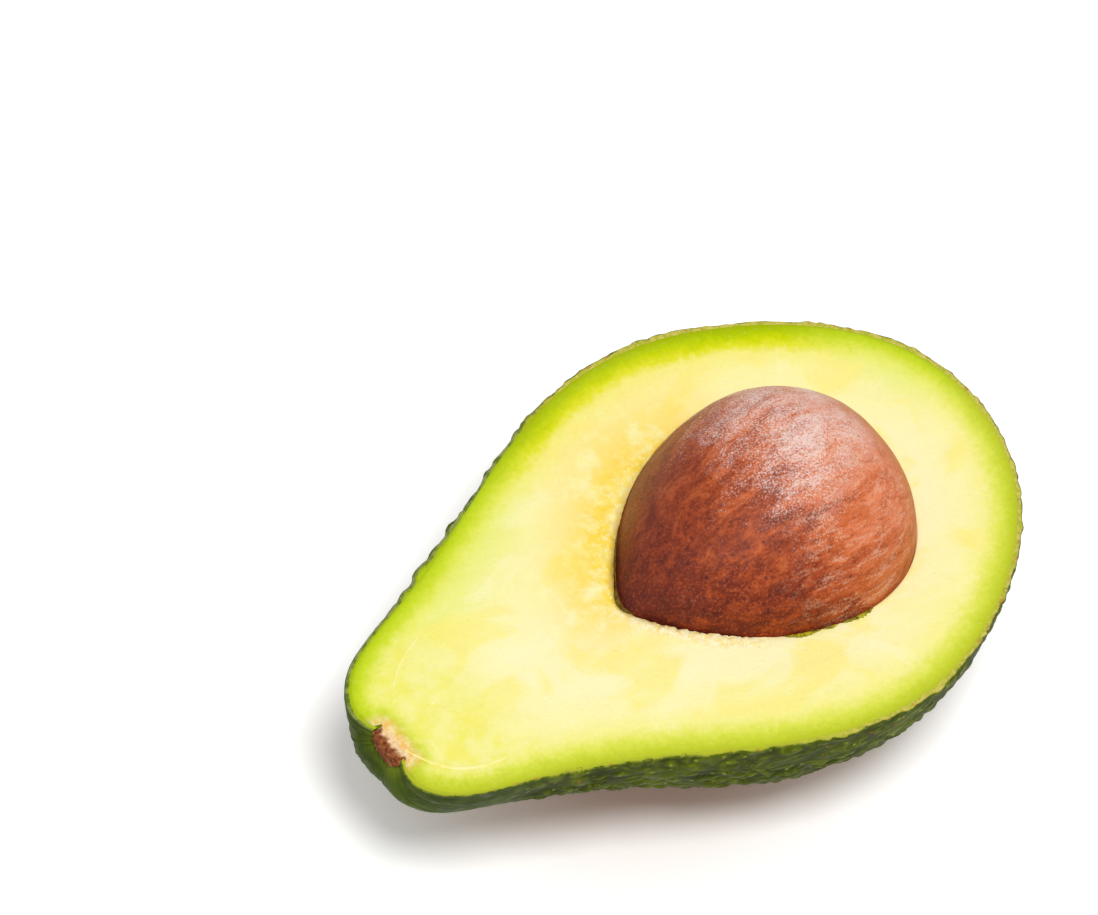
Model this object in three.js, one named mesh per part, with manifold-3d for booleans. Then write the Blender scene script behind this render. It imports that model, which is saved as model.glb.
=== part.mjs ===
// One half of a pear-shaped avocado, as cut, with its stone still in place.
// Millimetres, +Z up, +X from the stem end to the blossom end, origin under the middle of the part.
// The cut face is level, and the skin side rests on a small flat spot.
import * as THREE from "three";
import { mergeVertices } from "three/addons/utils/BufferGeometryUtils.js";
import Module from "manifold-3d";

// Driving dimensions, in millimetres
const length = 106; // stem end to blossom end
const girth = [30.7, -6.2, 1.5, 3.2, 1.9]; // cosine terms of the radius, from stem to blossom
const sway = 1.1; // how far the core line wanders sideways, in a shallow S
const skinThickness = 0.9;
const fitGap = 0.3; // between pieces that touch
const flatSpotPress = 0.9; // how far the resting spot is pressed in
const stemHollow = { depth: 3.4, radius: 4.6 };
const stub = { radius: 2.9, front: 2.2, back: 4.2, crown: 0.4 };
const stone = { middleX: 66.2, middleZ: -3.6, halfLength: 23.2, radius: 18.2, egg: 0.26 };

// Mesh fineness
const bodyStations = 40;
const bodySides = 48;
const stoneStations = 28;
const stoneSides = 36;
const stubSides = 24;
const blockSize = 400; // blocks that cut the part are larger than it

const wasm = await Module();
wasm.setup();

// A closed geometry as a manifold-3d solid.
function toSolid(geometry) {
  const bare = geometry.clone();
  bare.deleteAttribute("normal");
  bare.deleteAttribute("uv");
  const merged = mergeVertices(bare, 1e-4);
  const vertProperties = new Float32Array(merged.attributes.position.array);
  const triVerts = new Uint32Array(merged.index.array);
  return new wasm.Manifold(new wasm.Mesh({ numProp: 3, vertProperties, triVerts }));
}

// A manifold-3d solid as a geometry with flat facets.
function toGeometry(solid) {
  const { vertProperties, triVerts } = solid.getMesh();
  const indexed = new THREE.BufferGeometry();
  indexed.setAttribute("position", new THREE.BufferAttribute(vertProperties, 3));
  indexed.setIndex(new THREE.BufferAttribute(triVerts, 1));
  const geometry = indexed.toNonIndexed();
  geometry.computeVertexNormals();
  return geometry;
}

// A solid of revolution about the X axis. The profile holds (radius, x) points.
function revolve(profile, sides) {
  const points = profile.map(([radius, x]) => new THREE.Vector2(radius, x));
  return new THREE.LatheGeometry(points, sides).rotateZ(-Math.PI / 2);
}

// A block that fills the space above the height z, to be cut away.
function spaceAbove(z) {
  const block = new THREE.BoxGeometry(blockSize, blockSize, blockSize);
  return toSolid(block.translate(0, 0, z + blockSize / 2));
}

// A block that fills the space below the height z, to be cut away.
function spaceBelow(z) {
  return spaceAbove(z - blockSize);
}

// The body's radius at station t, from 0 at the stem end to PI at the blossom end,
// for a surface that lies `inset` inside the skin's outer face.
function bodyRadius(t, inset) {
  const series = girth.reduce((sum, term, k) => sum + term * Math.cos(k * t), 0);
  return Math.sin(t) * (series - inset);
}

// The (radius, x) profile of the same surface, with the hollow round the stem.
function bodyProfile(inset) {
  const profile = [];
  for (let i = 0; i <= bodyStations; i++) {
    const t = (Math.PI * i) / bodyStations;
    const onAxis = i === 0 || i === bodyStations;
    const radius = onAxis ? 0 : bodyRadius(t, inset);
    const x = length / 2 - (length / 2 - inset) * Math.cos(t);
    const hollow = t < Math.PI / 2 ? Math.exp(-((radius / stemHollow.radius) ** 2)) : 0;
    profile.push([radius, x + stemHollow.depth * hollow]);
  }
  return profile;
}

// The sideways place of the core line at x.
function coreY(x) {
  const t = Math.acos(THREE.MathUtils.clamp(1 - (2 * x) / length, -1, 1));
  return sway * Math.sin(t) * Math.sin(2 * t);
}

// The lowest height of the whole round body, where the resting spot is pressed in.
function deepest() {
  const radii = bodyProfile(0).map(([radius]) => radius);
  return Math.max(...radii);
}

// The whole body inside the surface at `inset`, flat at the resting spot.
function wholeBody(inset) {
  const geometry = revolve(bodyProfile(inset), bodySides);
  const position = geometry.attributes.position;
  for (let i = 0; i < position.count; i++) {
    position.setY(i, position.getY(i) + coreY(position.getX(i)));
  }
  const floor = flatSpotPress - deepest();
  return toSolid(geometry).subtract(spaceBelow(floor + inset));
}

// A short cylinder on the core line, from x = 'from' to x = 'to', wider than the stub by 'gap'.
function stubSpace(from, to, gap) {
  const radius = stub.radius + gap;
  return toSolid(revolve([[0, from], [radius, from], [radius, to], [0, to]], stubSides));
}

// The stone's egg, wider by 'gap' all round.
function stoneSolid(gap) {
  const profile = [];
  for (let i = 0; i <= stoneStations; i++) {
    const onAxis = i === 0 || i === stoneStations;
    const along = -Math.cos((Math.PI * i) / stoneStations);
    const round = onAxis ? 0 : Math.sqrt(1 - along ** 2);
    const radius = (stone.radius * (1 + stone.egg * along) + gap) * round;
    profile.push([radius, (stone.halfLength + gap) * along]);
  }
  const egg = revolve(profile, stoneSides);
  return toSolid(egg.translate(stone.middleX, 0, stone.middleZ));
}

// The skin: a thin shell, open at the cut face and round the stem.
function makeSkin() {
  const stemHole = stubSpace(-stub.back, 2 * stub.back, fitGap);
  const shell = wholeBody(0).subtract(wholeBody(skinThickness)).subtract(spaceAbove(0));
  return shell.subtract(stemHole);
}

// The flesh: fills the skin, with the stone's cavity and a seat for the stub.
function makeFlesh() {
  const seat = stubSpace(-stub.back, stub.back + fitGap, fitGap);
  const half = wholeBody(skinThickness + fitGap).subtract(spaceAbove(0));
  return half.subtract(stoneSolid(fitGap)).subtract(seat);
}

// What is left of the stem: half of a low woody disc with a crowned outer face.
function makeStemStub() {
  const { radius, front, back, crown } = stub;
  const profile = [[0, front], [radius * 0.6, front + crown / 3], [radius, front + crown]];
  profile.push([radius, back], [0, back]);
  return toSolid(revolve(profile, stubSides)).subtract(spaceAbove(0));
}

const finishes = {
  skin: { color: 0x2f4a1e, roughness: 0.45, metalness: 0 },
  flesh: { color: 0xf3ec9a, roughness: 0.55, metalness: 0 },
  stone: { color: 0x8a3f22, roughness: 0.5, metalness: 0 },
  stem_stub: { color: 0x5f3a22, roughness: 0.9, metalness: 0 },
};

function makeMesh(name, solid) {
  const mesh = new THREE.Mesh(toGeometry(solid), new THREE.MeshStandardMaterial(finishes[name]));
  mesh.name = name;
  return mesh;
}

// Moves the group so that the origin lies under the middle of its box.
function standAtOrigin(group) {
  const box = new THREE.Box3().setFromObject(group);
  const middle = box.getCenter(new THREE.Vector3());
  group.position.set(-middle.x, -middle.y, -box.min.z);
  return group;
}

const avocadoHalf = new THREE.Group();
avocadoHalf.add(makeMesh("skin", makeSkin()));
avocadoHalf.add(makeMesh("flesh", makeFlesh()));
avocadoHalf.add(makeMesh("stone", stoneSolid(0)));
avocadoHalf.add(makeMesh("stem_stub", makeStemStub()));

export default standAtOrigin(avocadoHalf);
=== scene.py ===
"""An avocado half with its stone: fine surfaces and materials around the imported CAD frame.

Metres, in the CAD's frame: +X from the stem end to the blossom end, +Z up, the cut face level.
Where a name ends in _mm, its numbers are in millimetres.
"""

import math
import random

import bmesh
import bpy
import numpy as np
from mathutils import Matrix, Vector, noise
from mathutils.kdtree import KDTree


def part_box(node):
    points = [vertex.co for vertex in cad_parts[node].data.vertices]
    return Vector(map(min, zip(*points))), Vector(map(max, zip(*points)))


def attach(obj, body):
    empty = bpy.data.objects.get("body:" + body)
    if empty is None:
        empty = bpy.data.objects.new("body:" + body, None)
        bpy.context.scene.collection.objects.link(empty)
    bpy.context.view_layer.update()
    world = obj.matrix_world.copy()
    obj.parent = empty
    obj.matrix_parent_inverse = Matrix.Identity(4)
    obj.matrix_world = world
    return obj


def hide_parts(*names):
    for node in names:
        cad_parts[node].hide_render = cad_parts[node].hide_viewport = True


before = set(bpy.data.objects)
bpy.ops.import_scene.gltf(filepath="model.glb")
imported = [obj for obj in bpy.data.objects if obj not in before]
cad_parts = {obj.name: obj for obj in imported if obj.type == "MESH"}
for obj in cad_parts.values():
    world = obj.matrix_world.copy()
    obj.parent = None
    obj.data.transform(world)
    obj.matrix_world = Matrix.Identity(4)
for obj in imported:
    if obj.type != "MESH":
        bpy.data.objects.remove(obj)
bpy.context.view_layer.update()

MM = 0.001

# The body, as the CAD makes it: a pear-shaped solid of revolution about a core line along +X
LENGTH = 106 * MM
GIRTH = (30.7, -6.2, 1.5, 3.2, 1.9)  # cosine terms of the radius in mm, from stem to blossom end
SWAY = 1.1 * MM  # how far the core line wanders sideways, in a shallow S
HOLLOW_DEPTH = 3.4 * MM  # of the hollow round the stem
HOLLOW_RADIUS = 4.6 * MM
SKIN_THICKNESS = 0.9 * MM
FIT_GAP = 0.3 * MM  # between the CAD's pieces
STUB_RADIUS = 2.9 * MM
STUB_FRONT = 2.2 * MM  # where the stem stub starts along the core line
STUB_BACK = 4.2 * MM  # how far it reaches in
STUB_CROWN = 0.4 * MM  # how far its front face is domed
STONE_EGG = 0.26  # how much fuller the stone is at its blossom end

# What is finer here than in the CAD
FLESH_REACH = 0.22 * MM  # how far the cut face runs out under the skin's cut edge
STONE_TAPER = 0.35  # how much the stone's stem end narrows to a point
STONE_NOSE = 0.75 * MM  # how much further than the CAD's its core line reaches
STONE_RISE = 2 * MM  # how far the point turns up

skin_low, skin_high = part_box("skin")
stone_low, stone_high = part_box("stone")
STEM_X = skin_high.x - LENGTH
FACE_Z = skin_high.z
FLOOR_Z = skin_low.z
CORE_Y = (stone_low.y + stone_high.y) / 2
STONE_MIDDLE = (stone_low + stone_high) / 2
STONE_CENTRE = np.array(STONE_MIDDLE)[:2]  # the same seen from above
STONE_HALF_LENGTH = (stone_high.x - stone_low.x) / 2
STONE_HALF_WIDTH = (stone_high.y - stone_low.y) / 2


# ---- numbers and noise


def smooth(low, high, value):
    """0 at low, 1 at high, and a smooth step between."""
    share = np.clip((value - low) / (high - low), 0, 1)
    return share * share * (3 - 2 * share)


def bell(centre, width, value):
    """A soft bell, 1 at centre."""
    return np.exp(-(((value - centre) / width) ** 2))


def soft_noise(points, size, octaves=1, seed=0.0):
    """Noise from about -1 to 1, with features of that size and finer layers on them."""
    shift = Vector((seed, seed * 1.7, -seed))
    values = [noise.fractal(Vector(p) / size + shift, 0.9, 2.1, octaves) for p in points]
    return np.array(values)


def cell_noise(points, size):
    """Distances to the nearest and the second nearest of scattered points, in cell sizes."""
    nearest = [noise.voronoi(Vector(p) / size)[0][:2] for p in points]
    return np.array(nearest).T


def run_of(x, y):
    """How far each point of a line lies along it."""
    return np.append(0, np.cumsum(np.hypot(np.diff(x), np.diff(y))))


# ---- the body's shape


def radius_at(t, inset=0.0):
    """The body's radius at station t, from 0 at the stem end to pi at the blossom end."""
    series = sum(term * MM * np.cos(k * t) for k, term in enumerate(GIRTH))
    return np.sin(t) * (series - inset)


def along_at(t, inset=0.0):
    """The place along the core line at station t, from the stem end, with the stem hollow."""
    radius = radius_at(t, inset)
    hollow = np.where(t < math.pi / 2, np.exp(-((radius / HOLLOW_RADIUS) ** 2)), 0)
    return LENGTH / 2 - (LENGTH / 2 - inset) * np.cos(t) + HOLLOW_DEPTH * hollow


def core_at(along):
    """The core line's sideways place."""
    t = np.arccos(np.clip(1 - 2 * along / LENGTH, -1, 1))
    return CORE_Y + SWAY * np.sin(t) * np.sin(2 * t)


def body_points(t, around, inset=0.0):
    """Points on the body's lower half. around runs from 0 at the +Y edge of the cut to pi."""
    radius, along = radius_at(t, inset), along_at(t, inset)
    y = core_at(along) + radius * np.cos(around)
    z = FACE_Z - radius * np.sin(around)
    return np.stack([STEM_X + along, y, np.maximum(z, FLOOR_Z + inset)], -1)


def even_stations(count, first, inset=0.0):
    """Stations from first to pi that are about evenly spaced along the cut's outline."""
    t = np.linspace(first, math.pi, 4000)
    run = run_of(along_at(t, inset), radius_at(t, inset))
    return np.interp(np.linspace(0, run[-1], count + 1), run, t)


def stone_along(u, gap=0.0):
    """The place along the part at u, from -1 at the stone's stem end to 1 at its blossom end."""
    return STONE_MIDDLE.x + (STONE_HALF_LENGTH + gap) * u - STONE_NOSE * np.minimum(u, 0) ** 2


def stone_level(u):
    """The height of the stone's core line at u."""
    return STONE_MIDDLE.z + STONE_RISE * np.minimum(u, 0) ** 2


def stone_radius(u):
    """The stone's radius at u."""

    def shape(v):
        power = 0.5 + STONE_TAPER * np.maximum(-v, 0) ** 1.5
        return np.clip(1 - v**2, 0, 1) ** power * (1 + STONE_EGG * v)

    return STONE_HALF_WIDTH / shape(np.linspace(-1, 1, 2001)).max() * shape(u)


def stone_ring(count, gap=0.0):
    """Where the stone's side, wider by gap, meets the cut face: (x, distance from its axis)."""
    u = -np.cos(np.linspace(0, math.pi, 4000))
    across = (stone_radius(u) + gap) ** 2 - (FACE_Z - stone_level(u)) ** 2
    inside = across > 0
    x = np.pad(stone_along(u[inside], gap), 1, mode="edge")
    y = np.pad(np.sqrt(across[inside]), 1)
    run = run_of(x, y)
    even = np.linspace(0, run[-1], count + 1)
    return np.interp(even, run, x), np.interp(even, run, y)


# ---- meshes


def indices(grid, start=0):
    """The numbers of a grid's points, where the first has the number start."""
    rows, columns = grid.shape[:2]
    return start + np.arange(rows * columns).reshape(rows, columns)


def grid_normals(grid):
    """Unit normals of a grid of points, from its own steps."""
    normals = np.cross(np.gradient(grid, axis=0), np.gradient(grid, axis=1))
    return normals / np.maximum(np.linalg.norm(normals, axis=-1, keepdims=True), 1e-12)


def grid_faces(index):
    """Quads between the vertices of a grid of indices."""
    a, b = index[:-1, :-1].ravel(), index[:-1, 1:].ravel()
    c, d = index[1:, 1:].ravel(), index[1:, :-1].ravel()
    return np.stack([a, b, c, d], -1).tolist()


def tube_faces(start, sides, steps):
    """The faces of a closed tube whose points run lengthwise, one side after another."""
    index = start + np.arange(sides * (steps + 1)).reshape(sides, steps + 1)
    faces = grid_faces(np.vstack([index, index[:1]]))
    return faces + [index[:, 0].tolist(), index[::-1, -1].tolist()]


def zip_faces(left, right):
    """Triangles between two chains of vertices with different counts."""
    faces, i, j = [], 0, 0
    while i < len(left) - 1 or j < len(right) - 1:
        left_is_next = (i + 1) * (len(right) - 1) <= (j + 1) * (len(left) - 1)
        if j == len(right) - 1 or (i < len(left) - 1 and left_is_next):
            faces.append((left[i], left[i + 1], right[j]))
            i += 1
        else:
            faces.append((left[i], right[j + 1], right[j]))
            j += 1
    return faces


def new_object(name, data):
    """An object in the scene that shows the data."""
    made = bpy.data.objects.new(name, data)
    bpy.context.scene.collection.objects.link(made)
    return made


def make_piece(name, points, faces, material, replaces=(), values=None, sharp=60):
    """A mesh on the part's body, smooth up to sharp degrees, with the values at its vertices."""
    mesh = bpy.data.meshes.new(name)
    mesh.from_pydata(np.asarray(points).tolist(), [], faces)
    for key, numbers in (values or {}).items():
        attribute = mesh.attributes.new(key, "FLOAT", "POINT")
        attribute.data.foreach_set("value", np.asarray(numbers, np.float32))
    merge_and_orient(mesh)
    mesh.shade_smooth()
    mesh.set_sharp_from_angle(angle=math.radians(sharp))
    mesh.materials.append(material)
    piece = new_object(name, mesh)
    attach(piece, "root")
    if replaces:
        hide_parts(*replaces)


def merge_and_orient(mesh):
    """Merges vertices that lie on each other, which closes the mesh, and turns the faces outward."""
    work = bmesh.new()
    work.from_mesh(mesh)
    bmesh.ops.remove_doubles(work, verts=work.verts, dist=1e-7)
    bmesh.ops.dissolve_degenerate(work, edges=work.edges, dist=1e-8)
    bmesh.ops.recalc_face_normals(work, faces=work.faces)
    work.to_mesh(mesh)
    work.free()


def nearest_on(points, outline):
    """For each point, the distance to a closed outline and the run along it, both in mm."""
    fine = 6  # samples between two points of the outline
    closed = np.vstack([outline, outline[:1]])
    steps = np.linspace(0, len(outline), len(outline) * fine, endpoint=False)
    x, y = (np.interp(steps, np.arange(len(closed)), closed[:, k]) for k in (0, 1))
    run = run_of(x, y)
    tree = KDTree(len(steps))
    for i, place in enumerate(zip(x, y)):
        tree.insert((*place, 0), i)
    tree.balance()
    found = [tree.find((*place, 0)) for place in points]
    distance = np.array([item[2] for item in found])
    return distance / MM, run[[item[1] for item in found]] / MM


# ---- material helpers


def srgb(red, green, blue):
    """A colour on the 0 to 255 scale as Blender's linear colour."""
    linear = []
    for level in (red, green, blue):
        share = level / 255
        linear.append(share / 12.92 if share <= 0.04045 else ((share + 0.055) / 1.055) ** 2.4)
    return (*linear, 1.0)


def stops(*rows):
    """The stops of a colour ramp, from rows of (place, red, green, blue)."""
    return [(place, srgb(*colour)) for place, *colour in rows]


class Shader:
    """A material's node tree, with short calls for the nodes that the materials here use."""

    def __init__(self, name):
        self.material = bpy.data.materials.new(name)
        self.material.use_nodes = True
        self.tree = self.material.node_tree
        self.surface = self.tree.nodes["Principled BSDF"]
        self.place = self.new("ShaderNodeTexCoord").outputs["Object"]

    def new(self, kind, **settings):
        node = self.tree.nodes.new(kind)
        for key, value in settings.items():
            setattr(node, key, value)
        return node

    def feed(self, node, values):
        """Links or sets each value on the input of that name or number, and leaves out None."""
        for key, value in values.items():
            if isinstance(value, bpy.types.NodeSocket):
                self.tree.links.new(value, node.inputs[key])
            elif value is not None:
                node.inputs[key].default_value = value

    def value(self, name):
        """A number that the mesh carries at each vertex."""
        return self.new("ShaderNodeAttribute", attribute_name=name).outputs["Fac"]

    def mapped(self, scale, shift=(0, 0, 0), turn=(0, 0, 0)):
        """The place on the part, scaled along each axis, then turned and then shifted."""
        node = self.new("ShaderNodeMapping")
        self.feed(node, {"Vector": self.place, "Scale": scale, "Location": shift, "Rotation": turn})
        return node.outputs["Vector"]

    def axis(self, letter):
        """One coordinate of the place on the part, in metres."""
        node = self.new("ShaderNodeSeparateXYZ")
        self.feed(node, {0: self.place})
        return node.outputs[letter]

    def from_stem(self, start_mm, end_mm, top=1.0):
        """As step, by the distance from the stem end."""
        return self.step(self.axis("X"), STEM_X + start_mm * MM, STEM_X + end_mm * MM, top)

    def vector(self, x, y):
        node = self.new("ShaderNodeCombineXYZ")
        self.feed(node, {0: x, 1: y})
        return node.outputs[0]

    def dot(self, vector, direction):
        node = self.new("ShaderNodeVectorMath", operation="DOT_PRODUCT")
        self.feed(node, {0: vector, 1: direction})
        return node.outputs["Value"]

    def noise(self, size, detail=2.0, roughness=0.5, distortion=0.0, vector=None):
        """Noise with features of that size, in metres where vector is the place."""
        node = self.new("ShaderNodeTexNoise")
        layers = {"Detail": detail, "Roughness": roughness, "Distortion": distortion}
        self.feed(node, {"Vector": vector or self.place, "Scale": 1 / size, **layers})
        return node.outputs["Fac"]

    def cells(self, size):
        """Distance to the nearest of scattered points, in cell sizes, and each cell's own number."""
        node = self.new("ShaderNodeTexVoronoi")
        self.feed(node, {"Vector": self.place, "Scale": 1 / size})
        split = self.new("ShaderNodeSeparateColor")
        self.feed(split, {0: node.outputs["Color"]})
        return node.outputs["Distance"], split.outputs[0]

    def math(self, operation, *values):
        node = self.new("ShaderNodeMath", operation=operation)
        self.feed(node, dict(enumerate(values)))
        return node.outputs[0]

    def add(self, first, second):
        return self.math("ADD", first, second)

    def product(self, *values):
        result = values[0]
        for value in values[1:]:
            result = self.math("MULTIPLY", result, value)
        return result

    def around_zero(self, value, size):
        """A 0 to 1 noise value as a number from -size / 2 to size / 2."""
        return self.math("MULTIPLY_ADD", value, size, -size / 2)

    def step(self, value, low, high, top=1.0):
        """0 where value is at low and top where it is at high, with a smooth step between."""
        node = self.new("ShaderNodeMapRange", interpolation_type="SMOOTHSTEP")
        first, last = (top, 0) if low > high else (0, top)
        self.feed(node, {"Value": value, "From Min": min(low, high), "From Max": max(low, high)})
        self.feed(node, {"To Min": first, "To Max": last})
        return node.outputs[0]

    def ramp(self, value, colours, low=0.0, high=1.0):
        """A colour ramp over low to high. Each of the colours is (value, colour)."""
        share = self.new("ShaderNodeMapRange")
        self.feed(share, {"Value": value, "From Min": low, "From Max": high})
        node = self.new("ShaderNodeValToRGB")
        self.feed(node, {0: share.outputs[0]})
        elements = node.color_ramp.elements
        while len(elements) < len(colours):
            elements.new(0.5)
        for element, (place, colour) in zip(elements, colours):
            element.position = (place - low) / (high - low)
            element.color = colour
        return node.outputs[0]

    def mix(self, share, first, second):
        """Mixes two colours: the first where share is 0, and the second where it is 1."""
        node = self.new("ShaderNodeMix", data_type="RGBA")
        self.feed(node, {0: share, 6: first, 7: second})
        return node.outputs[2]

    def layered(self, colour, *layers):
        """The colour with others laid over it, each given as (share, red, green, blue)."""
        for share, *tint in layers:
            colour = self.mix(share, colour, srgb(*tint))
        return colour

    def relief(self, height, depth, under=None):
        """A bump of that depth in metres, on top of an earlier one."""
        node = self.new("ShaderNodeBump")
        self.feed(node, {"Distance": depth, "Height": height, "Normal": under})
        return node.outputs[0]

    def finish(self, colour, roughness, normal=None, **fixed):
        """Feeds the surface. fixed holds plain values, with _ for each space in a socket's name."""
        self.feed(self.surface, {"Base Color": colour, "Roughness": roughness, "Normal": normal})
        self.feed(self.surface, {key.replace("_", " "): value for key, value in fixed.items()})
        return self.material


# ---- materials


def cut_colour(s, depth):
    """The cut's colour, from lime green to cream, by the depth in mm under the skin's outer face.

    Returns the colour and the depth that gave it, which wanders with patches, streaks and flecks."""
    along_rim = s.vector(s.value("rim_run"), s.product(s.value("rim_mm"), 0.4))
    # Each pattern, how far it moves the depth, and between which depths it sets in
    patches = (s.noise(3.6 * MM, 5, 0.65), 2.3, 0.8, 3.5)
    streaks = (s.noise(0.8, 4, 0.65, vector=along_rim), 0.8, 0.4, 2.5)
    flecks = (s.noise(0.9 * MM, 4, 0.75), 1.5, 0.9, 1.6)
    for pattern, size, low, high in (patches, streaks, flecks):
        depth = s.add(depth, s.product(s.around_zero(pattern, size), s.step(depth, low, high)))

    def by_depth(*rows):
        return s.ramp(depth, stops(*rows), 0, 14)

    plain = by_depth(
        (0.0, 150, 160, 40), (0.5, 178, 186, 46), (1.1, 189, 200, 44),
        (1.8, 198, 211, 50), (3.0, 218, 226, 78), (4.0, 233, 234, 108),
        (5.4, 248, 241, 148), (8.0, 253, 244, 174), (13.0, 254, 246, 190),
    )
    mild = by_depth(
        (0.0, 140, 158, 22), (0.6, 160, 180, 8), (1.2, 188, 210, 30),
        (2.0, 204, 221, 44), (3.0, 221, 230, 80), (4.0, 232, 236, 110),
        (5.5, 237, 240, 134), (9.0, 247, 243, 162), (13.0, 254, 246, 182),
    )
    vivid = by_depth(
        (0.0, 146, 150, 8), (0.6, 162, 176, 0), (1.2, 166, 188, 0),
        (2.0, 180, 202, 0), (3.0, 206, 217, 0), (4.0, 228, 229, 46),
        (5.2, 246, 239, 132), (8.0, 253, 244, 168), (13.0, 254, 246, 182),
    )
    plus_side = s.step(s.axis("Y"), 0, 9 * MM)
    belly = s.product(plus_side, s.from_stem(34, 52), s.from_stem(99, 88))
    return s.mix(belly, s.mix(plus_side, plain, mild), vivid), depth


def peel_colour(s, stem_end, patches, fine):
    """The peel without its dots: mottled dark green with painted shade in its grooves, satin by the
    stem, and browner low down as painted warm bounce light from the floor.
    """
    green = s.layered(
        s.ramp(patches, stops((0.3, 52, 56, 1), (0.5, 72, 84, 2), (0.7, 102, 114, 6))),
        (s.step(fine, 0.48, 0.7, 0.6), 118, 132, 30),
        # painted shade: darker where the relief is low, in the grooves between the pebbles
        (s.step(s.value("height"), 0.55, 0.05, 0.7), 24, 34, 2),
    )
    satin = s.mix(s.step(patches, 0.35, 0.65), srgb(48, 62, 14), srgb(74, 92, 26))
    # painted warm bounce light from the floor: browner toward the bottom
    low = s.step(s.axis("Z"), FLOOR_Z + 22 * MM, FLOOR_Z + 8 * MM, 0.35)
    ring = s.product(s.step(s.value("pole_mm"), 5.2, 2.9), stem_end, s.step(patches, 0.3, 0.6), 0.7)
    green = s.mix(s.product(stem_end, 0.85), green, satin)
    return s.layered(green, (low, 92, 74, 8), (ring, 110, 126, 28))


def cut_edge_colour(s):
    """The skin's cut edge: as the flesh, with tan strips, specks and a dark line at the rim."""
    depth = s.value("rim_mm")
    colour, _ = cut_colour(s, depth)
    flecks = s.noise(1.4 * MM, 3, 0.6)
    blossom_side = s.from_stem(44, 62)
    strip = s.mix(s.step(s.noise(0.6 * MM, 3, 0.7), 0.4, 0.6), srgb(176, 178, 56), srgb(208, 194, 96))
    tan = s.product(blossom_side, s.step(depth, 1.1, 0.7), s.step(flecks, 0.2, 0.42))
    colour = s.mix(tan, colour, strip)
    speck = s.product(s.step(s.noise(1.7 * MM, 2), 0.6, 0.68), s.step(depth, 0.75, 0.3), 0.75)
    colour = s.layered(colour, (speck, 184, 126, 54))

    stem_side = s.product(s.from_stem(62, 44), s.step(s.axis("Y"), 0, 9 * MM))
    dark = s.mix(s.step(flecks, 0.4, 0.6), srgb(74, 92, 20), srgb(132, 138, 54))
    grey = s.mix(s.step(flecks, 0.35, 0.6), srgb(92, 112, 44), srgb(142, 152, 84))
    line = s.add(s.around_zero(flecks, 0.6), depth)
    line = s.add(line, s.product(blossom_side, 0.1))
    line = s.math("SUBTRACT", line, s.product(stem_side, 0.3))
    return s.mix(s.step(line, 0.38, 0.12), colour, s.mix(stem_side, dark, grey))


def skin_material():
    """Dark green peel with yellow-green dots, glossier on its pebbles, and its thin cut edge."""
    s = Shader("skin")
    stem_end = s.from_stem(22, 9)
    patches = s.noise(7 * MM, 5, 0.65)
    fine = s.noise(1.1 * MM, 4, 0.65)
    green = peel_colour(s, stem_end, patches, fine)
    dots, pick = s.cells(1.5 * MM)
    dot = s.product(s.step(dots, 0.3, 0.12), s.step(pick, 0.3, 0.42), s.step(stem_end, 0.9, 0.1))
    dot_colour = s.mix(s.step(pick, 0.86, 0.9), srgb(146, 160, 40), srgb(150, 108, 34))
    green = s.mix(s.product(dot, 0.75), green, dot_colour)
    colour = s.mix(s.value("cut"), green, cut_edge_colour(s))

    height = s.add(s.product(dot, 0.8), s.product(s.noise(0.5 * MM, 3, 0.6), 0.3))
    waxy = s.product(s.step(s.value("height"), 0.4, 0.75), s.step(s.noise(3 * MM, 3, 0.6), 0.42, 0.6))
    roughness = s.add(0.5, s.step(fine, 0.3, 0.8, 0.12))
    roughness = s.math("SUBTRACT", roughness, s.product(waxy, 0.27))
    return s.finish(colour, roughness, s.relief(height, 0.25 * MM), Specular_IOR_Level=0.08, IOR=1.4)


def cloudy_colour(s, colour, depth):
    """The flesh with broad clouds, yellower and paler, and with a green-yellow glow by the stem."""
    inner = s.step(depth, 3.5, 7.0)
    clouds = s.noise(8 * MM, 4, 0.55, 0.7, s.mapped((0.6, 1, 1), turn=(0, 0, math.radians(-12))))
    colour = s.layered(
        colour,
        (s.product(inner, s.step(clouds, 0.5, 0.66, 0.7)), 252, 238, 132),
        (s.product(inner, s.step(clouds, 0.45, 0.34, 0.35)), 255, 249, 204),
    )
    glow = s.product(s.from_stem(26, 12), s.step(depth, 2.5, 5.0), 0.85)
    mottle = s.step(s.noise(3.4 * MM, 4, 0.6), 0.35, 0.65)
    tint = s.mix(mottle, srgb(247, 241, 150), srgb(241, 236, 100))
    return s.mix(glow, colour, tint)


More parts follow.
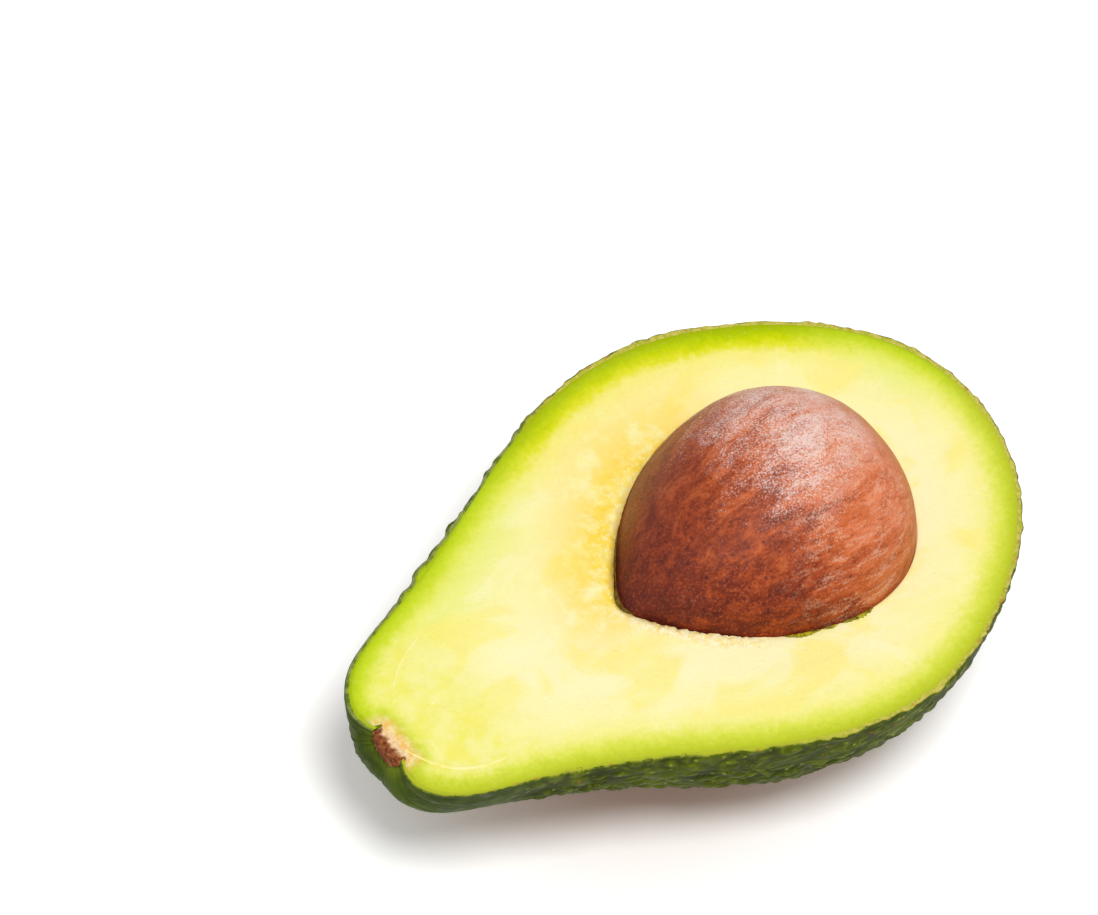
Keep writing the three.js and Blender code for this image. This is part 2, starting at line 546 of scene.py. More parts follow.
def torn_colour(s, colour):
    """The flesh where it tore: deep yellow by the stone, pale on the lip, peach by the stub, and tan
    painted shade in the gap at the stone's stem-end tip.
    """
    warm, torn = s.value("warm"), s.value("torn")
    mottle = s.noise(3.4 * MM, 5, 0.6, 0.2)
    fuzz = s.noise(0.9 * MM, 4, 0.7)
    blotch = s.step(s.add(mottle, s.around_zero(fuzz, 0.35)), 0.36, 0.62)
    colour = s.layered(
        colour,
        (s.product(warm, s.step(mottle, 0.25, 0.55), 0.9), 255, 221, 92),
        (s.product(torn, blotch), 255, 219, 62),
        (s.product(torn, s.step(fuzz, 0.5, 0.6, 0.85)), 255, 241, 168),
    )
    edge = s.add(s.value("stone_mm"), s.around_zero(fuzz, 0.8))
    lip = s.product(s.step(edge, 2.3, 1.0), s.value("lip"))
    lip_colour = s.mix(s.step(fuzz, 0.38, 0.56), srgb(250, 221, 134), srgb(255, 244, 204))
    # painted shade: tan in the gap where the flesh meets the stone's stem-end tip
    tan = s.product(s.step(edge, 1.3, 0.1), s.value("tip"), 0.9)
    colour = s.layered(s.mix(lip, colour, lip_colour), (tan, 186, 146, 62))
    near_stub = s.add(s.value("stub_mm"), s.around_zero(s.noise(1.3 * MM, 4, 0.65), 2.0))
    peach = s.mix(s.step(fuzz, 0.42, 0.62), srgb(250, 190, 108), srgb(255, 228, 178))
    return s.mix(s.step(near_stub, 2.8, 0.2, 0.9), colour, peach)


def flesh_material():
    """Buttery flesh: lime green under the skin, cream inside, and browner with depth down the
    cavity's wall as painted shade.
    """
    s = Shader("flesh")
    colour, depth = cut_colour(s, s.add(s.value("rim_mm"), (SKIN_THICKNESS - FLESH_REACH) / MM))
    colour = torn_colour(s, cloudy_colour(s, colour, depth))
    # painted shade: the cavity's wall darkens from cream to brown with depth under the cut face
    wall = stops((0.0, 238, 206, 120), (0.5, 196, 146, 66), (2.5, 120, 74, 30))
    colour = s.mix(s.value("wall"), colour, s.ramp(s.value("wall_mm"), wall, 0, 3))

    grain = s.noise(0.5 * MM, 3, 0.65)
    light, dark = s.step(grain, 0.55, 0.8, 0.12), s.step(grain, 0.42, 0.22, 0.25)
    colour = s.layered(colour, (light, 255, 250, 200), (dark, 222, 204, 60))
    bump = s.relief(grain, 0.08 * MM)
    bump = s.relief(s.noise(3 * MM, 2, 0.5, 0, s.mapped((0.5, 1, 1))), 0.2 * MM, bump)
    return s.finish(
        colour,
        s.add(0.45, s.step(grain, 0.3, 0.7, 0.2)),
        bump,
        Specular_IOR_Level=0.06,
        Subsurface_Weight=0.1,
        Subsurface_Radius=(1.0, 0.7, 0.2),
        Subsurface_Scale=1.2 * MM,
    )


def stone_material():
    """A red-brown papery coat with fine specks, painted light on its upper side, painted shade by the
    stem end, a grainy pale bloom that is partly painted sheen, and painted ochre reflections of the
    flesh low down and at its seen edge.

    A zone lies where the place is far enough in a direction, from about -1 to 1 across the stone."""
    s = Shader("stone")
    size = (STONE_HALF_LENGTH, STONE_HALF_WIDTH, STONE_HALF_WIDTH)
    scale = [1 / half for half in size]
    local = s.mapped(scale, [-middle * k for middle, k in zip(STONE_MIDDLE, scale)])

    def zone(direction, low, high, top=1.0):
        return s.step(s.dot(local, direction), low, high, top)

    lengthwise = s.mapped((0.32, 1, 1), turn=(0, math.radians(12), math.radians(14)))
    # painted light: the tone rises toward the upper blossom-end side
    lit = s.dot(local, (0.79, 0.25, 0.55))
    tone = s.add(s.noise(2.0 * MM, 6, 0.72, 0.4, lengthwise), s.product(lit, 0.26))
    tone = s.add(tone, zone((0.9, -0.41, 0.34), 0.35, 0.8, 0.13))
    brown = stops(
        (0.25, 84, 28, 18), (0.41, 122, 46, 24), (0.55, 160, 68, 32),
        (0.7, 204, 102, 54), (0.88, 232, 138, 96),
    )
    fine = s.noise(0.42 * MM, 4, 0.75)
    dots, pick = s.cells(1.0 * MM)
    speck = s.product(s.step(dots, 0.4, 0.15), s.step(pick, 0.6, 0.7), s.step(lit, 0.75, -0.1), 0.55)
    # painted shade: darker maroon toward the stone's stem end and +Y side
    stem_side_painted_shade = zone((-0.765, 0.62, -0.18), 0.0, 0.6, 0.42)
    colour = s.layered(
        s.ramp(tone, brown),
        (s.step(fine, 0.5, 0.68, 0.45), 204, 110, 66),
        (s.step(fine, 0.47, 0.32, 0.6), 74, 24, 20),
        (speck, 58, 20, 30),
        (stem_side_painted_shade, 98, 42, 36),
    )

    mottle = s.add(tone, s.around_zero(fine, 0.9))
    ochre = s.ramp(mottle, stops((0.38, 92, 30, 12), (0.6, 170, 70, 10), (0.84, 208, 112, 50)))
    # painted warm bounce from the yellow flesh: ochre on the low blossom-end rim and along the foot
    far_rim_bounce = s.product(zone((0.72, -0.62, -0.25), 0.68, 0.9), s.step(fine, 0.3, 0.6), 0.35)
    foot = s.product(zone((0.1, -0.35, -1), -0.4, 0.1), s.step(fine, 0.32, 0.6), 0.85)
    colour = s.mix(foot, s.mix(far_rim_bounce, colour, ochre), ochre)
    amber = s.product(zone((-0.6, 0.75, 0.1), 0.7, 0.84), zone((-1, 0, 0), 0.42, 0.62))
    amber = s.product(amber, s.step(fine, 0.3, 0.6, 0.7))

    patches = s.around_zero(s.noise(4 * MM, 6, 0.7, 0.6, s.mapped((0.62, 1, 1))), 2.1)
    grain = s.around_zero(s.noise(0.26 * MM, 3, 0.8), 3.4)
    spread = s.add(zone((1.02, 0.12, 0.64), -0.1, 0.92), patches)
    # partly real pale bloom and partly painted sheen, strongest on the upper blossom-end side
    bloom_and_sheen = s.product(s.step(s.add(spread, grain), 0.45, 1.5), zone((0.47, -0.81, -0.07), 0.5, 0.15))
    old_rim = s.product(zone((-0.5, 0.8, 0.1), 0.62, 0.92), s.step(grain, -0.15, 0.35), 0.62)
    strands = s.mapped((0.28, 1, 1), turn=(0, math.radians(24), math.radians(16)))
    veins = s.add(s.noise(1.3 * MM, 5, 0.7, 0.8, strands), s.product(grain, 0.2))
    vein = s.product(s.step(veins, 0.5, 0.66), zone((0.55, -0.7, 0.42), 0.45, 0.8), 0.45)
    colour = s.layered(
        colour,
        (amber, 172, 100, 16),
        (s.product(bloom_and_sheen, 0.82), 250, 230, 222),
        (old_rim, 196, 158, 112),
        (vein, 240, 200, 172),
    )

    # painted reflection: ochre where the stone's side turns away from the camera, as the yellow flesh
    # would show there
    to_camera = (-0.46, -0.34, 0.82)
    painted_edge_reflection = s.product(
        zone(to_camera, 0.42, 0.16),
        zone(to_camera, -0.22, 0.04),
        zone((0.77, -0.62, 0.18), 0.3, 0.6),
        s.step(fine, 0.25, 0.55, 0.85),
    )
    colour = s.mix(painted_edge_reflection, colour, ochre)

    bump = s.relief(s.noise(0.35 * MM, 3, 0.7), 0.05 * MM)
    bump = s.relief(s.noise(2.2 * MM, 3, 0.6, 0, lengthwise), 0.12 * MM, bump)
    roughness = s.add(0.4, s.step(fine, 0.3, 0.7, 0.15))
    return s.finish(colour, roughness, bump, Specular_IOR_Level=0.2, IOR=1.4)


def stub_material():
    """Dry, crumbly stem tissue outside, and moist peach tissue where the knife went through it."""
    s = Shader("stem_stub")
    tone = s.noise(0.7 * MM, 5, 0.75)
    crust = stops((0.32, 72, 30, 12), (0.46, 122, 60, 28), (0.58, 164, 98, 54), (0.72, 220, 168, 120))
    moist = stops((0.32, 238, 170, 106), (0.5, 252, 214, 160), (0.68, 255, 238, 204))
    colour = s.mix(s.value("moist"), s.ramp(tone, crust), s.ramp(tone, moist))
    return s.finish(colour, 0.8, s.relief(tone, 0.25 * MM), Specular_IOR_Level=0.25)


def fibre_material():
    """Pale, slightly glossy strands that run in from the stem."""
    s = Shader("fibres")
    tone = s.noise(1.5 * MM, 2)
    colour = s.ramp(tone, stops((0.35, 252, 238, 110), (0.6, 254, 244, 170)))
    return s.finish(colour, 0.45, Specular_IOR_Level=0.3)


def crumb_material():
    """Soft crumbs of flesh that the stone tore loose."""
    s = Shader("crumbs")
    tone = s.noise(0.6 * MM, 3, 0.6)
    colour = s.ramp(tone, stops((0.3, 244, 222, 130), (0.6, 254, 246, 204)))
    return s.finish(colour, 0.6, s.relief(tone, 0.1 * MM), Specular_IOR_Level=0.3)


def coat_material():
    """Scraps of the seed coat, olive along the stone and brown by its stem end."""
    s = Shader("seed_coat")
    tone = s.noise(0.9 * MM, 3, 0.6)
    colour = s.ramp(tone, stops((0.35, 98, 78, 20), (0.5, 150, 138, 26), (0.65, 198, 188, 40)))
    tip_start, tip_end = (STONE_MIDDLE.x - share * STONE_HALF_LENGTH for share in (0.4, 0.6))
    tip = s.step(s.axis("X"), tip_start, tip_end)
    colour = s.mix(s.product(tip, 0.8), colour, srgb(92, 56, 10))
    return s.finish(colour, 0.6, s.relief(tone, 0.1 * MM), Specular_IOR_Level=0.15)


# ---- skin


def skin_relief(points, around):
    """How far each point of the skin lies in from its plain surface, and its height from 0 to 1."""
    warp = np.stack([soft_noise(points, 3.5 * MM, 2, seed) for seed in (21.0, 22.0, 23.0)], -1)
    longer = np.array([0.6, 1, 1])  # the pebbles are longer along the part
    nearest, second = cell_noise((points + 0.9 * MM * warp) * longer, 2.0 * MM)
    plateau = smooth(0.02, 0.5, second - nearest)
    pimple = smooth(0.45, 0.1, nearest)
    swell = smooth(-0.6, 0.6, soft_noise(points, 5.5 * MM, 3, 3.0))
    height = np.clip(0.4 * plateau + 0.2 * pimple + 0.4 * swell, 0, 1)
    broad = soft_noise(points, 7 * MM, 2, 13.0)

    along = points[:, 0] - STEM_X
    pebbled = smooth(7 * MM, 24 * MM, along)
    off_cut = smooth(0.02, 0.3, np.sin(around))
    rugged = smooth(0, 20 * MM, points[:, 1]) * smooth(66 * MM, 44 * MM, along)
    rugged = np.maximum(off_cut, 0.6 + 0.4 * rugged)
    sunk = pebbled * rugged * (0.75 * (0.55 - height) - 0.4 * broad)

    lobes = 0.5 + 0.5 * np.cos(5.3 * around + 0.7 + 0.8 * soft_noise(points, 20 * MM, 1, 7.0))
    fluted = np.stack([around * 9, along / MM * 0.05, 0 * along], -1)
    folds = 0.5 + 0.5 * soft_noise(fluted, 1.0, 3, 5.0)
    shoulder = bell(6 * MM, 8 * MM, along)
    sunk += shoulder * (0.48 * (1 - lobes) + 0.5 * np.clip(1 - folds, 0, 1) - 0.2)
    deepest_mm = 0.75  # so that the skin keeps some thickness
    return np.minimum(sunk, deepest_mm) * MM, height


def make_skin(material):
    """The skin's outer face, its plain inner face, and its cut edge on both sides of the flesh."""
    stations, sides, inner_sides = 340, 248, 24
    edge_shares = np.array([0, 0.13, 0.3, 0.5, 0.7, 0.85, 1])  # across the cut edge, from outside
    edge_drop = np.array([0.13, 0, 0, 0, 0, 0.01, 0.04]) * MM  # how far it is rounded off there
    pole = np.linspace(0, 0.5, 500)
    stub_station = float(np.interp(STUB_RADIUS, radius_at(pole), pole))
    t = even_stations(stations, stub_station)
    tt, aa = np.meshgrid(t, np.linspace(0, math.pi, sides + 1), indexing="ij")
    outer = body_points(tt, aa)
    sunk, height = skin_relief(outer.reshape(-1, 3), aa.ravel())
    outer = outer - grid_normals(outer) * sunk.reshape(tt.shape)[..., None]
    outer[..., 2] = np.clip(outer[..., 2], FLOOR_Z, FACE_Z - edge_drop[0])
    outer[-1] = outer[-1, sides // 2]

    ti, ai = np.meshgrid(t, np.linspace(0, math.pi, inner_sides + 1), indexing="ij")
    inner = body_points(ti, ai, SKIN_THICKNESS)
    inner[-1] = inner[-1, 0]

    grids = [outer, inner]
    rim_mm = [np.zeros(outer.shape[:2]), np.zeros(inner.shape[:2])]
    for column in (0, -1):
        start, end = outer[:, column].copy(), inner[:, column]
        start[:, 2] = FACE_Z
        share = edge_shares[:, None]
        band = start[:, None] * (1 - share) + end[:, None] * share
        band[..., 2] -= edge_drop
        grids.append(band)
        rim_mm.append(np.linalg.norm(end - start, axis=1)[:, None] / MM * edge_shares)

    faces, count = [], 0
    for grid in grids:
        index = indices(grid, count)
        faces += grid_faces(index)
        count += index.size
    first_inner = len(height)
    faces += zip_faces(range(sides + 1), range(first_inner, first_inner + inner_sides + 1))
    points = np.vstack([grid.reshape(-1, 3) for grid in grids])
    rim_mm = np.concatenate([grid.ravel() for grid in rim_mm])
    from_pole = np.hypot(points[:, 1] - core_at(points[:, 0] - STEM_X), points[:, 2] - FACE_Z)
    values = {
        "cut": rim_mm > 0,
        "rim_mm": rim_mm,
        "rim_run": (points[:, 0] - STEM_X) / MM,
        "height": np.concatenate([height, np.ones(count - len(height))]),
        "pole_mm": from_pole / MM,
    }
    make_piece("avocado_skin", points, faces, material, ["skin"], values, sharp=50)


# ---- flesh


def both_sides(x, middle, half):
    """A closed outline from the stem side round by +Y to the blossom side and back."""
    upper, lower = np.stack([x, middle + half], -1), np.stack([x, middle - half], -1)
    return np.vstack([upper, lower[-2:0:-1]])


def torn_relief(flat, side, rim_mm, stone_mm):
    """Each point's height and its lean toward the stone, in mm, and where it is lip, torn or warm.

    side runs from 0 at the stem side to 1 at the blossom side by +Y, and to -1 by -Y."""
    spots = np.column_stack([flat, np.zeros(len(flat))])
    ragged = soft_noise(spots, 0.8 * MM, 4, 9.0)
    crumble = soft_noise(spots, 1.3 * MM, 3, 11.0)
    lip = smooth(0.02, -0.05, side) * smooth(-0.38, -0.2, side)
    torn = smooth(-0.06, 0.05, side) * smooth(0.55, 0.3, side) * bell(0, 4.8, stone_mm)
    warm = smooth(-0.16, 0.04, side) * smooth(0.72, 0.4, side) * bell(0, 9.0, stone_mm)
    tip_gap = bell(0, 0.16, side + 0.02) * np.exp(-stone_mm / 0.6)

    height = 0.05 * soft_noise(spots, 10 * MM, 2, 1.0) + 0.02 * soft_noise(spots, 1.5 * MM, 2, 5.0)
    height = height * smooth(0.3, 1.8, rim_mm) - 0.03 * smooth(0.3, 0, rim_mm)
    height += lip * (0.34 * bell(0, 1.1, stone_mm) + 0.3 * ragged * bell(0, 1.5, stone_mm))
    height += 0.18 * torn * crumble - 0.15 * np.exp(-stone_mm / 0.25) * (1 - lip) - 0.35 * tip_gap
    lean = 0.1 * ragged * np.exp(-stone_mm / 0.7) * (lip + torn) - 0.35 * tip_gap
    return height, lean, {"lip": lip, "torn": torn, "warm": warm}


def cavity_wall(ring, levels):
    """Rings of points from under the cavity's edge down to the middle of its floor."""
    least_drop = 0.4 * MM  # from ring to ring
    table = np.linspace(-1, 1, 4001)
    wall = []
    for level in range(1, levels + 1):
        angle = math.pi / 2 * (level / levels) ** 1.5
        xy = STONE_CENTRE + (ring - STONE_CENTRE) * math.cos(angle)
        u = np.interp(xy[:, 0], stone_along(table, FIT_GAP), table)
        drop = (stone_radius(u) + FIT_GAP) ** 2 - (xy[:, 1] - STONE_MIDDLE.y) ** 2
        z = stone_level(u) - np.sqrt(np.clip(drop, 0, None))
        wall.append(np.column_stack([xy, np.minimum(z, FACE_Z - least_drop * level)]))
    return np.array(wall)


def flesh_back(t, along, sides):
    """Rows of points round the back, from just under the +Y edge of the cut to the other."""
    inset = SKIN_THICKNESS + 0.02 * MM
    radius, core = radius_at(t, inset), core_at(along)
    just_under = 0.004  # the first and the last row's angle from the cut
    rows = []
    for angle in (just_under, *np.linspace(0, math.pi, sides + 1)[1:-1], math.pi - just_under):
        z = np.maximum(FACE_Z - radius * np.sin(angle), FLOOR_Z + inset)
        rows.append(np.column_stack([STEM_X + along, core + radius * np.cos(angle), z]))
    return np.array(rows)


def make_flesh(material):
    """The cut face with its torn edge round the stone, the cavity's wall, and the plain back."""
    stations, levels, back_sides, cavity_levels = 300, 110, 20, 16
    inset = SKIN_THICKNESS - FLESH_REACH
    t = even_stations(stations, 0, inset)
    radius, along = radius_at(t, inset), along_at(t, inset)
    behind_stub = radius < STUB_RADIUS + 0.05 * MM
    along = np.where(behind_stub, np.maximum(along, STUB_BACK), along)
    outline = both_sides(STEM_X + along, core_at(along), radius)
    ring_x, ring_y = stone_ring(stations, 0.02 * MM)
    ring = both_sides(ring_x, STONE_MIDDLE.y, ring_y)

    share = np.linspace(0, 1, levels + 1)[:, None, None]
    share = 0.25 * share + 0.75 * (1 - (1 - share) ** 2.2)  # from the rim to the stone, finest there
    flat = (outline * (1 - share) + ring * share).reshape(-1, 2)
    columns = len(outline)
    column = np.arange(columns)
    side = np.where(column <= stations, column, column - columns) / stations
    side = np.tile(side, levels + 1)
    rim_mm, rim_run = nearest_on(flat, outline)
    stone_mm, _ = nearest_on(flat, ring)
    height, lean, tears = torn_relief(flat, side, rim_mm, stone_mm)
    inward = STONE_CENTRE - flat
    flat = flat + inward / np.linalg.norm(inward, axis=1)[:, None] * lean[:, None] * MM
    face = np.column_stack([flat, FACE_Z + (0.004 + height) * MM]).reshape(-1, columns, 3)
    wall = cavity_wall(ring, cavity_levels)
    back = flesh_back(t, along, back_sides)

    face_index = indices(face)
    wall_index = indices(wall, face_index.size)
    back_index = indices(back, face_index.size + wall_index.size)
    rings = np.vstack([face_index, wall_index])
    faces = grid_faces(np.hstack([rings, rings[:, :1]]))
    rim = face_index[0]
    plus_rim, minus_rim = rim[: stations + 1], np.append(rim[0], rim[: stations - 1 : -1])
    faces += grid_faces(np.vstack([plus_rim, back_index, minus_rim]))
    points = np.vstack([grid.reshape(-1, 3) for grid in (face, wall, back)])

    half_stub = STUB_RADIUS - FIT_GAP
    stub_x = np.clip(flat[:, 0], STEM_X + STUB_FRONT, STEM_X + STUB_BACK)
    stub_y = np.clip(flat[:, 1], CORE_Y - half_stub, CORE_Y + half_stub)
    stub_mm = np.hypot(flat[:, 0] - stub_x, flat[:, 1] - stub_y) / MM

    def spread(numbers, on_wall=0.0, on_back=0.0):
        """Numbers for the face's vertices, with plain ones for the wall and the back."""
        wall_numbers = np.broadcast_to(on_wall, wall_index.size)
        return np.concatenate([numbers, wall_numbers, np.full(back_index.size, on_back)])

    nothing, far = np.zeros(face_index.size), 9.0
    values = {
        "rim_mm": spread(rim_mm, far),
        "rim_run": spread(rim_run),
        "stone_mm": spread(stone_mm, 0.0, far),
        "stub_mm": spread(stub_mm, far, far),
        "tip": spread(bell(0.06, 0.24, side)),
        "wall": spread(nothing, 1.0),
        "wall_mm": spread(nothing, (FACE_Z - wall[..., 2]).ravel() / MM),
        **{key: spread(numbers) for key, numbers in tears.items()},
    }
    make_piece("avocado_flesh", points, faces, material, ["flesh"], values, sharp=70)


def make_fibres(material):
    """Strands in the cut face near the stem, each a thin ridge that tapers at both ends."""
    # Each one's start, bend and end, along and across the core line, and its radius, in mm
    strands = [
        ((4.4, -1.6), (7.2, -9.6), (15.8, -9.9), 0.22),
        ((8.6, 6.2), (12.0, 10.0), (18.2, 11.5), 0.16),
        ((7.5, 4.9), (7.9, 5.1), (8.3, 5.2), 0.2),
        ((11.7, 1.9), (12.1, 2.1), (12.4, 2.2), 0.18),
    ]
    steps, sides = 60, 8
    share = np.linspace(0, 1, steps + 1)[:, None]
    taper = np.sin(math.pi * np.clip(share[:, 0], 0.001, 0.999)) ** 0.6
    points, faces = [], []
    for number, (first, bend, last, radius) in enumerate(strands):
        first, bend, last = (np.array(p) for p in (first, bend, last))
        path = first * (1 - share) ** 2 + 2 * bend * share * (1 - share) + last * share**2
        path += 0.12 * soft_noise(np.column_stack([path, 0 * share]), 2.0, 2, number)[:, None]
        tangent = np.gradient(path, axis=0)
        normal = np.stack([-tangent[:, 1], tangent[:, 0]], -1)
        normal /= np.linalg.norm(normal, axis=1)[:, None]
        faces += tube_faces(len(points), sides, steps)
        for k in range(sides):
            angle = 2 * math.pi * k / sides
            xy = path + normal * (radius * taper * math.cos(angle))[:, None]
            z = FACE_Z + (0.03 + 0.04 * taper * math.sin(angle)) * MM
            points += np.column_stack([STEM_X + xy[:, 0] * MM, CORE_Y + xy[:, 1] * MM, z]).tolist()
    make_piece("flesh_fibres", points, faces, material)


def unit_sphere():
    """The points and triangles of a ball with radius 1."""
    ball = bmesh.new()
    bmesh.ops.create_icosphere(ball, subdivisions=2, radius=1)
    points = np.array([v.co[:] for v in ball.verts])
    triangles = np.array([[v.index for v in face.verts] for face in ball.faces])
    ball.free()
    return points, triangles


def make_crumbs(material):
    """Small torn crumbs along the lip, from the stem side round by -Y."""
    count, ring_steps = 90, 400
    rng = random.Random(11)
    ring_x, ring_y = stone_ring(ring_steps)
    sphere, triangles = unit_sphere()
    points, faces = [], []
    for number in range(count):
        station = int(rng.uniform(0.08, 0.32) * ring_steps)
        out_mm = rng.uniform(0.5, 1.7)
        place = np.array([ring_x[station], STONE_MIDDLE.y - ring_y[station]])
        away = place - STONE_CENTRE
        place = place + away / np.linalg.norm(away) * out_mm * MM
        size = rng.uniform(0.05, 0.13) * MM
        lift = (0.34 * bell(0, 1.1, out_mm) - 0.02) * MM  # onto the lip's crest
        shape = sphere * [rng.uniform(0.8, 1.3), rng.uniform(0.8, 1.3), rng.uniform(0.5, 0.9)]
        shape = shape * (1 + 0.35 * soft_noise(sphere, 0.7, 2, number))[:, None]
        turned = shape @ np.array(Matrix.Rotation(rng.uniform(0, math.pi), 3, "Z")).T
        faces += (triangles + len(points)).tolist()
        points += (np.array([*place, FACE_Z + lift]) + turned * size).tolist()
    make_piece("flesh_crumbs", points, faces, material, sharp=180)


# ---- stone and stem stub


def make_stone(material):
    """An egg with a narrow stem end that turns up, and a faintly uneven coat."""
    stations, sides = 220, 260
    u = -np.cos(np.linspace(0, math.pi, stations + 1))
    uu, aa = np.meshgrid(u, np.linspace(0, 2 * math.pi, sides, endpoint=False), indexing="ij")
    radius = stone_radius(uu)
    drawn_back = 0.3 * MM * smooth(-0.7, -1.0, uu)  # at the very tip of the stem end
    y = STONE_MIDDLE.y + radius * np.cos(aa)
    z = stone_level(uu) + radius * np.sin(aa)
    points = np.stack([stone_along(uu) + drawn_back, y, z], -1).reshape(-1, 3)
    outward = points - np.array(STONE_MIDDLE)
    outward /= np.linalg.norm(outward, axis=1)[:, None]
    dents, grain = soft_noise(points, 11 * MM, 3, 2.0), soft_noise(points, 0.9 * MM, 2, 4.0)
    sunk = 0.16 * (1 + dents) + 0.02 * (1 + grain)
    points = points - outward * np.clip(sunk, 0, 0.5)[:, None] * MM
    index = indices(uu)
    faces = grid_faces(np.hstack([index, index[:, :1]]))
    make_piece("avocado_stone", points, faces, material, ["stone"], sharp=180)


def make_seed_coat(material):
    """Ragged scraps of seed coat that lie along the foot of the stone."""
    # Each one's start and end round the stone, from 0 at its stem side to 1 at its blossom side by
    # -Y and to -1 by +Y, and its width and height in mm
    scraps = [
        (0.35, 0.43, 0.3, 0.22),
        (0.435, 0.47, 0.2, 0.16),
        (0.48, 0.56, 0.3, 0.22),
        (-0.2, -0.03, 0.12, 0.06),
        (-0.05, 0.03, 0.38, 0.2),
    ]
    steps, sides, ring_steps = 90, 12, 1000
    ring = stone_ring(ring_steps)
    ends = np.sin(math.pi * np.linspace(0.01, 0.99, steps + 1)) ** 0.6
    points, faces = [], []
    for first, last, wide, tall in scraps:
        station = np.linspace(first, last, steps + 1) * ring_steps
        x, half = (np.interp(abs(station), np.arange(ring_steps + 1), line) for line in ring)
        foot = np.stack([x, STONE_MIDDLE.y - np.sign(station) * half], -1)
        out = foot - STONE_CENTRE
        out /= np.linalg.norm(out, axis=1)[:, None]
        faces += tube_faces(len(points), sides, steps)
        for k in range(sides):
            angle = 2 * math.pi * k / sides
            place = np.column_stack([foot, np.full(len(foot), math.sin(angle) * MM)])
            ragged = ends * (0.85 + 0.8 * soft_noise(place, 0.6 * MM, 3, 8.0 + math.cos(angle)))
            reach = (0.1 + wide * ragged * (0.7 + math.cos(angle))) * MM
            z = FACE_Z + tall * ragged * (0.3 + math.sin(angle)) * MM
            points += np.column_stack([foot + out * reach[:, None], z]).tolist()
    make_piece("seed_coat", points, faces, material, sharp=80)


def make_stub(material):
    """Half of a low woody disc: crumbly in front, and cut through on top where it is moist."""
    rings, sides, layers, back_rings, across = 24, 64, 14, 6, 48
    start = STUB_FRONT + STUB_CROWN
    profile = [(r / rings, STUB_FRONT + STUB_CROWN * (r / rings) ** 2) for r in range(rings + 1)]
    profile += [(1.0, start + (STUB_BACK - start) * k / layers) for k in range(1, layers + 1)]
    profile += [(1 - r / back_rings, STUB_BACK) for r in range(1, back_rings + 1)]
    reach, depth = np.array(profile).T
    around = np.linspace(0, math.pi, sides + 1)
    y = CORE_Y + STUB_RADIUS * reach[:, None] * np.cos(around)
    z = FACE_Z - STUB_RADIUS * reach[:, None] * np.sin(around)
    x = np.repeat((STEM_X + depth)[:, None], sides + 1, axis=1)
    under = np.stack([x, y, z], -1)
    share = np.linspace(0, 1, across + 1)[:, None, None]
    top = under[:, 0] * (1 - share) + under[:, -1] * share
    points = np.vstack([under.reshape(-1, 3), top.reshape(-1, 3)])
    faces = grid_faces(indices(under)) + grid_faces(indices(top, x.size))

    crust = soft_noise(points, 0.7 * MM, 4, 6.0)
    in_mm = (points[:, 0] - STEM_X) / MM
    on_top = np.clip((points[:, 2] - FACE_Z) / (0.25 * MM) + 1, 0, 1)
    crust_end_mm = 3.2 + 0.5 * ((points[:, 1] - CORE_Y) / STUB_RADIUS) ** 2
    moist = on_top * smooth(-0.2, 0.4, in_mm - crust_end_mm + 0.5 * crust)
    rough_front = smooth(STUB_BACK / MM - 0.6, STUB_FRONT / MM, in_mm)
    points[:, 0] -= (0.1 + 0.32 * crust) * MM * rough_front * (1 - 0.6 * on_top)
    points[:, 2] += 0.12 * MM * crust * rough_front - 0.12 * MM * (1 - moist) * on_top
    name, slot = "avocado_stem_stub", "stem_stub"
    make_piece(name, points, faces, material, [slot], {"moist": moist})


# ---- stage, light and camera


def make_floor():
    """A white floor that takes the shadow, with a faint glow that only the camera sees.

    The glow grows outward from the foot of the part, so that the floor is plain white beyond it.
    Faint and reddish near the foot, it paints the shadow there darker and warm."""
    half = 6.0
    mesh = bpy.data.meshes.new("floor")
    corners = [(x * half, y * half, FLOOR_Z) for x, y in ((-1, -1), (1, -1), (1, 1), (-1, 1))]
    mesh.from_pydata(corners, [], [(0, 1, 2, 3)])
    floor = new_object("floor", mesh)
    s = Shader("floor")
    oval = s.mapped((0.74, 1, 0), (-4 * MM, 0, 0))
    away = s.math("SQRT", s.dot(oval, oval))
    # painted shadow: the glow stays faint and reddish near the foot, so the shadow there reads darker
    # and warm
    near, middle, far = (0.08, 0.01, 0, 1), (0.15, 0.1, 0.08, 1), (0.25, 0.24, 0.23, 1)
    glow = s.ramp(away, [(17 * MM, near), (26 * MM, middle), (36 * MM, far)], 0, 50 * MM)
    s.feed(s.surface, {"Emission Color": glow, "Emission Strength": seen_directly(s.tree)})
    mesh.materials.append(s.finish(srgb(254, 254, 254), 0.9, Specular_IOR_Level=0.0))


def seen_directly(tree):
    """1 for what the camera sees, straight, in a gloss or through glass, and 0 for soft light."""
    path = tree.nodes.new("ShaderNodeLightPath")
    total = path.outputs["Is Camera Ray"]
    for name in ("Is Glossy Ray", "Is Transmission Ray"):
        either = tree.nodes.new("ShaderNodeMath")
        either.operation = "MAXIMUM"
        tree.links.new(total, either.inputs[0])
        tree.links.new(path.outputs[name], either.inputs[1])
        total = either.outputs[0]
    return total


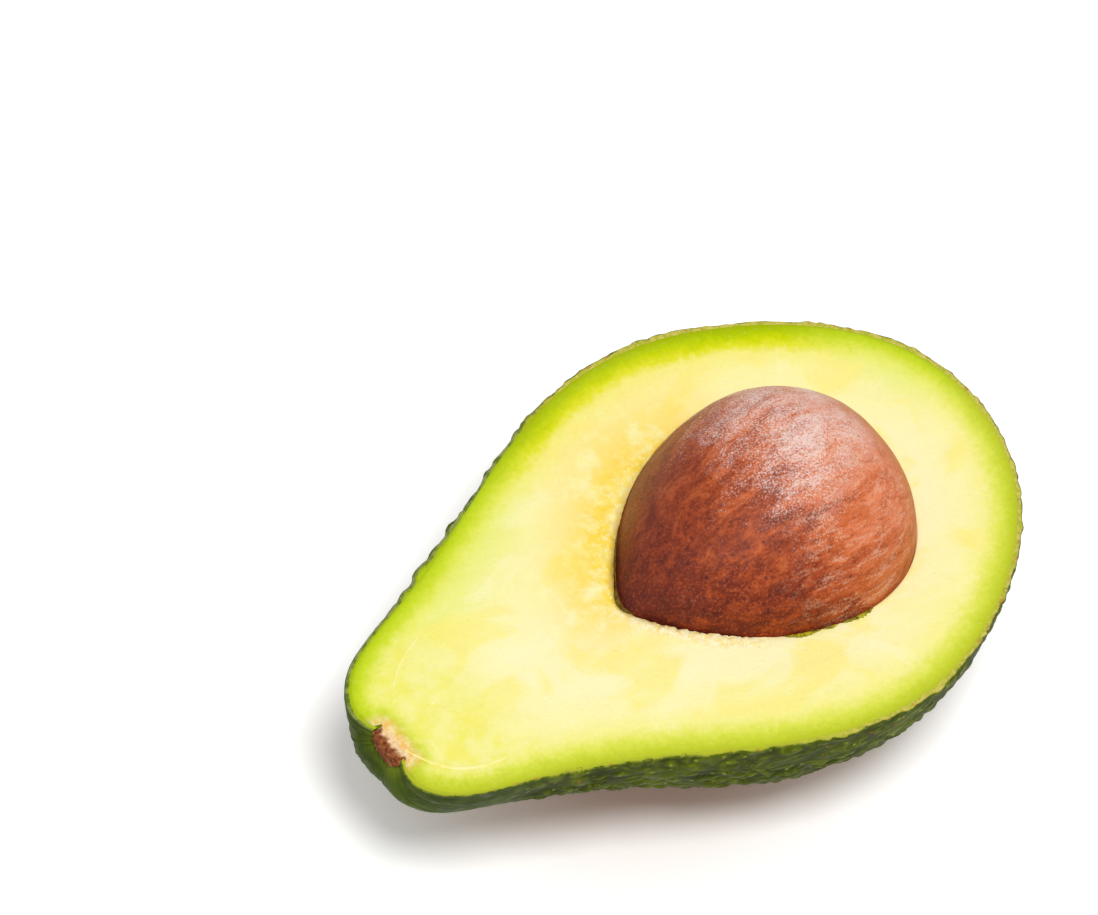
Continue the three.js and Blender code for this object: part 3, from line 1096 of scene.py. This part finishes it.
def make_world():
    """White to the camera, and a plain soft fill for everything else."""
    fill = 0.4  # the key lamp brings the level face up from here to about 1
    world = bpy.data.worlds.new("studio")
    world.use_nodes = True
    bpy.context.scene.world = world
    tree = world.node_tree
    background = tree.nodes["Background"]
    background.inputs["Color"].default_value = (1, 1, 1, 1)
    strength = tree.nodes.new("ShaderNodeMix")
    strength.inputs["A"].default_value = fill
    strength.inputs["B"].default_value = 1.0
    tree.links.new(seen_directly(tree), strength.inputs["Factor"])
    tree.links.new(strength.outputs["Result"], background.inputs["Strength"])


def make_key_lamp():
    """A round soft lamp high over the stem side, which throws the short shadow beside the part."""
    place, aim = Vector((-0.6, -0.62, 2.5)), Vector((0, 0, FACE_Z))
    light = bpy.data.lights.new("key", "AREA")
    light.shape = "DISK"
    light.size = 0.75
    light.energy = 46.5
    lamp = new_object("key", light)
    lamp.location = place
    lamp.rotation_mode = "QUATERNION"
    lamp.rotation_quaternion = (aim - place).to_track_quat("-Z", "Y")


def make_camera():
    """A long lens that looks down on the cut face from the stem side, turned a little on its axis."""
    azimuth, elevation, roll = math.radians(-53.9), math.radians(55.2), math.radians(-18)
    distance, sensor, lens = 1.5, 36.0, 368.4
    aim_right, aim_up = -21.36 * MM, 13.02 * MM
    flat = math.cos(elevation)
    back = Vector((math.sin(azimuth) * flat, -math.cos(azimuth) * flat, math.sin(elevation)))
    level_right = Vector((0, 0, 1)).cross(back).normalized()
    level_up = back.cross(level_right)
    right = level_right * math.cos(roll) - level_up * math.sin(roll)
    up = level_right * math.sin(roll) + level_up * math.cos(roll)
    aim = Vector((STEM_X + 0.55 * LENGTH, CORE_Y, FACE_Z)) + right * aim_right + up * aim_up
    data = bpy.data.cameras.new("camera")
    data.sensor_width = sensor
    data.lens = lens
    data.clip_start, data.clip_end = 0.05, 50
    camera = new_object("camera", data)
    turn = Matrix((right, up, back)).transposed()
    camera.matrix_world = Matrix.Translation(aim + back * distance) @ turn.to_4x4()
    bpy.context.scene.camera = camera


make_skin(skin_material())
make_flesh(flesh_material())
make_fibres(fibre_material())
make_crumbs(crumb_material())
make_stone(stone_material())
make_seed_coat(coat_material())
make_stub(stub_material())
make_floor()
make_world()
make_key_lamp()
make_camera()
bpy.context.scene.view_settings.view_transform = "Standard"
